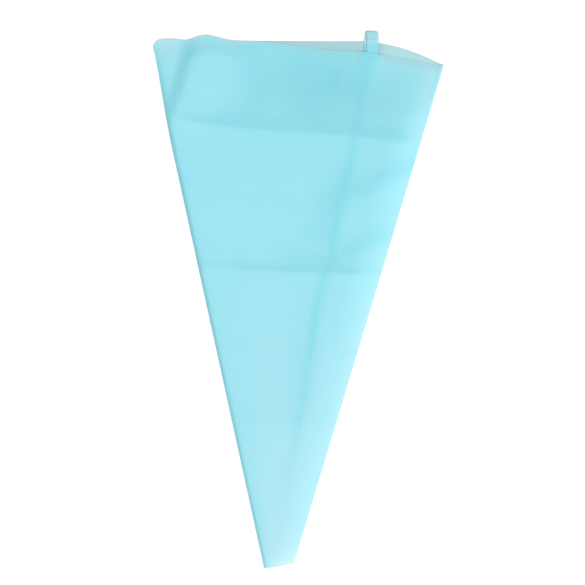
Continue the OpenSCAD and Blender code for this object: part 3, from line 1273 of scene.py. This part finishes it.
@dataclass
class HangingLoop:
    """The strip folded into a loop at the rim, with both ends inside the back wall. Lengths are in metres.

    Args:
        bag: The cone's measures.
        light: The finish's lighter colour.
        dark: Its darker one.
        ply: The strip's thickness.
        lower_rise: How far the lower ply's middle lies above the back wall, in plies.
        upper_rise: How far the upper ply's lies above that, in plies.
        flatness: How open the loop lies, as a share of the CAD's.
        top_inset: How far short of the CAD's top it ends.
        neck_past: How far past the tail the two plies part.
        dip: How far past that the lower ply dips, and how deep.
        floor_gap: How far the fold's lower side rises off the back wall's level.
        crest: How far past the neck the upper ply crests, and how high.
        crest_share: The upper ply's height where the fold starts, as a share of its radius.
        neck_lift: How far the upper ply lifts at the neck.
        upper_short: How far short of the lower ply's end the upper one ends.
        skew: How far its upper ply lies to the side of the lower one.
        crossing: Where along the strip it crosses to that side, as shares of the length.
        corner: The radius of its top corners.
        corner_depth: How much of that radius the width loses at the top.
        edge_thinning: How much thinner it is at its long edges.
        edge_power: How suddenly it thins there.
        bend_reach: Not used.
        turn_steps: Steps round its fold.
        steps: Steps along it.
        columns: Lines along each face.
        smoothings: Times that its path is smoothed.
        lapped_from: Where the front wall starts to cover it, down from the tail's top.
        edge_width: The width of the lower ply's edge that is painted lighter, where the upper ply shades it.
    """

    bag: BagMeasures
    light: Colour = (0.354, 0.655, 0.722, 1.0)
    dark: Colour = (0.332, 0.635, 0.705, 1.0)
    ply: float = 0.25 * MM
    lower_rise: float = 0.62
    upper_rise: float = 1.15
    flatness: float = 0.2
    top_inset: float = 0.8 * MM
    neck_past: float = 0.2 * MM
    dip: Point = (1.3 * MM, 0.35 * MM)
    floor_gap: float = 0.12 * MM
    crest: Point = (1.2 * MM, 0.7 * MM)
    crest_share: float = 0.86
    neck_lift: float = 0.1 * MM
    upper_short: float = 0.4 * MM
    skew: float = 1.7 * MM
    crossing: Span = (0.35, 0.65)
    corner: float = 1.2 * MM
    corner_depth: float = 0.8
    edge_thinning: float = 0.35
    edge_power: int = 8
    bend_reach: float = 0.9 * MM
    turn_steps: int = 14
    steps: int = 140
    columns: int = 9
    smoothings: int = 16
    lapped_from: Span = (-0.4 * MM, 2.6 * MM)
    edge_width: float = 0.5 * MM

    def path(self) -> Array:
        """The strip's middle line as y and z, from the lower ply's end round the fold to the upper ply's."""
        tail_lo, tail_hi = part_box("loop_tail")
        eye_lo, eye_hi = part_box("loop_eye")
        low_z = self.bag.film + self.ply * self.lower_rise
        high_z = low_z + self.ply * self.upper_rise
        radius = ((eye_hi.z - eye_lo.z) / 2.0 - self.ply / 2.0) * self.flatness
        centre_z = eye_lo.z + radius + self.ply / 2.0
        neck = tail_hi.y + self.neck_past
        halfway = (tail_lo.y + neck) / 2
        near, far = eye_lo.y + radius, eye_hi.y - radius - self.ply / 2.0 - self.top_inset
        lower = [(tail_lo.y, low_z), (halfway, low_z), (neck, low_z)]
        lower += [(neck + self.dip[0], low_z - self.dip[1]), (near, centre_z - radius + self.floor_gap)]
        turn = [
            (far + radius * math.sin(a), centre_z - radius * math.cos(a))
            for a in np.linspace(0.0, math.pi, self.turn_steps)
        ]
        upper = [(near, centre_z + radius * self.crest_share)]
        upper += [(neck + self.crest[0], high_z + self.crest[1]), (neck, high_z + self.neck_lift)]
        upper += [(halfway, high_z), (tail_lo.y + self.upper_short, high_z)]
        rough = np.array(lower + turn + upper)
        along = np.concatenate([[0], np.cumsum(np.linalg.norm(np.diff(rough, axis=0), axis=1))])
        even = np.linspace(0.0, along[-1], self.steps)
        line = np.stack([np.interp(even, along, rough[:, k]) for k in range(2)], axis=1)
        for _ in range(self.smoothings):
            line[1:-1] = (line[:-2] + 2.0 * line[1:-1] + line[2:]) / 4.0
        return line

    def rings(self, line: Array, centre: float, width: Array) -> Array:
        """The strip's points round its middle line.

        Args:
            line: The middle line.
            centre: Its place across the bag.
            width: Half its width at each step.

        Returns:
            A ring of points at each step.
        """
        share = np.linspace(0.0, 1.0, len(line))
        shift = self.skew * (smooth_step(share, *self.crossing) - 0.5)
        ahead = np.gradient(line, axis=0)
        ahead /= np.linalg.norm(ahead, axis=1, keepdims=True)
        outward = np.stack([ahead[:, 1], -ahead[:, 0]], axis=1)
        columns = np.linspace(-1.0, 1.0, self.columns)
        rings = []
        for sign, order in ((1.0, columns), (-1.0, columns[::-1])):
            for c in order:
                thin = 1.0 - self.edge_thinning * abs(c) ** self.edge_power
                yz = line + outward * (sign * self.ply / 2.0 * thin)
                rings.append(np.stack([centre + shift + width * c, yz[:, 0], yz[:, 1]], axis=-1))
        points = np.stack(rings, axis=1)
        points[..., 2] = np.maximum(points[..., 2], 0.0)
        return points

    def build(self) -> bpy.types.Object:
        """Makes the loop at the rim."""
        line = self.path()
        tail_lo, tail_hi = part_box("loop_tail")
        centre = (tail_lo.x + tail_hi.x) / 2.0
        inward = np.clip(1.0 - (line[:, 0].max() - line[:, 0]) / self.corner, 0.0, 1.0)
        width = (tail_hi.x - tail_lo.x) / 2.0 - self.skew / 2.0
        width = width - self.corner * (1.0 - np.sqrt(1.0 - inward**2)) * self.corner_depth
        points = self.rings(line, centre, width)
        piece = strip_piece("hanging_loop", points, turned=True)
        lapped = smooth_step(tail_hi.y - points[..., 1], *self.lapped_from)
        # Painted light: the lower ply's edge beside the upper ply, which shades it, is made lighter
        left = smooth_step(centre - width.mean() + self.skew - points[..., 0], 0.0, self.edge_width)
        lower = (np.arange(len(line)) < len(line) / 2)[:, None]
        store(piece, {Mask.TAIL: lapped, Mask.PALE_AND_LIT: lower * left * (1.0 - lapped)})
        piece.data.materials.append(StripFinish("loop_film", self.light, self.dark).build())
        pivot = Fold.of_joint("loop_swing").centre
        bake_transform(piece)
        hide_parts("loop_tail", "loop_eye")
        length = np.linalg.norm(np.diff(line, axis=0), axis=1).sum()
        log.info("%s: %.0f mm of strip", piece.name, length / MM)
        return piece


@dataclass
class Studio:
    """The table, the soft lights and the camera.

    Args:
        look_at: What the camera stands above.
        view_width: The width that it sees.
        lens: Its focal length, in millimetres.
        sensor: Its sensor's width, in millimetres.
        roll: How far it is turned, in degrees.
        ambient: The level of the light from all round.
        key_level: The level that the key gives a level surface.
        key_softness: The key's width, in degrees.
        key_from: The direction that it comes from.
        white: The colour of the light from all round.
        table_side: Half the table's side.
        table_drop: How far its top lies below the bag.
        clip_times: How far the camera sees, in its own heights.
    """

    look_at: tuple[float, float] = (2.48 * MM, 3.65 * MM)
    view_width: float = 396.3 * MM
    lens: float = 180.0
    sensor: float = 36.0
    roll: float = 2.2
    ambient: float = 0.84
    key_level: float = 0.56
    key_softness: float = 38.0
    key_from: tuple[float, float, float] = (0.50, -0.80, 0.92)
    white: Colour = (1.0, 1.0, 1.0, 1.0)
    table_side: float = 3.0
    table_drop: float = 0.05 * MM
    clip_times: float = 10.0

    def table(self) -> None:
        """A wide pale sheet under the bag."""
        side, z = self.table_side, -self.table_drop
        corners = np.array([(-side, -side, z), (side, -side, z), (side, side, z), (-side, side, z)])
        top = mesh_piece("table", corners, np.array([[0, 1, 2, 3]]))
        top.data.materials.append(TableFinish().build())

    def lights(self) -> None:
        """Even light from all round, and a wide soft key from the lower right."""
        scene = bpy.context.scene
        world = bpy.data.worlds.new("studio")
        world.use_nodes = True
        back = world.node_tree.nodes["Background"]
        back.inputs["Color"].default_value = self.white
        back.inputs["Strength"].default_value = self.ambient
        scene.world = world
        scene.view_settings.view_transform = "Standard"
        place = np.array(self.key_from)
        place /= np.linalg.norm(place)
        lamp = bpy.data.lights.new("key", "SUN")
        lamp.angle = math.radians(self.key_softness)
        lamp.energy = self.key_level * math.pi / place[2]
        key = bpy.data.objects.new("key", lamp)
        key.rotation_mode = "QUATERNION"
        key.rotation_quaternion = Vector(tuple(-place)).to_track_quat("-Z", "Y")
        scene.collection.objects.link(key)

    def camera(self) -> None:
        """A long lens straight above, turned a little."""
        data = bpy.data.cameras.new("camera")
        data.lens = self.lens
        data.sensor_width = self.sensor
        height = self.view_width / 2.0 / (self.sensor / 2.0 / self.lens)
        data.clip_end = height * self.clip_times
        camera = bpy.data.objects.new("camera", data)
        camera.location = (*self.look_at, height)
        camera.rotation_euler = (0.0, 0.0, math.radians(self.roll))
        bpy.context.scene.collection.objects.link(camera)
        bpy.context.scene.camera = camera

    def build(self) -> None:
        """Sets the whole studio."""
        self.camera()
        self.lights()
        self.table()


def main() -> None:
    """Builds the bag and its studio."""
    logging.basicConfig(level=logging.INFO, format="%(name)s %(message)s")
    bag = BagMeasures.from_frame()
    seam = SeamLine()
    Studio().build()
    pieces = [*FilmCone(bag, seam).build(), *LapSeam(bag, seam).build(), HangingLoop(bag).build()]
    log.info("%d pieces done", len(pieces))


if __name__ == "__main__":
    main()
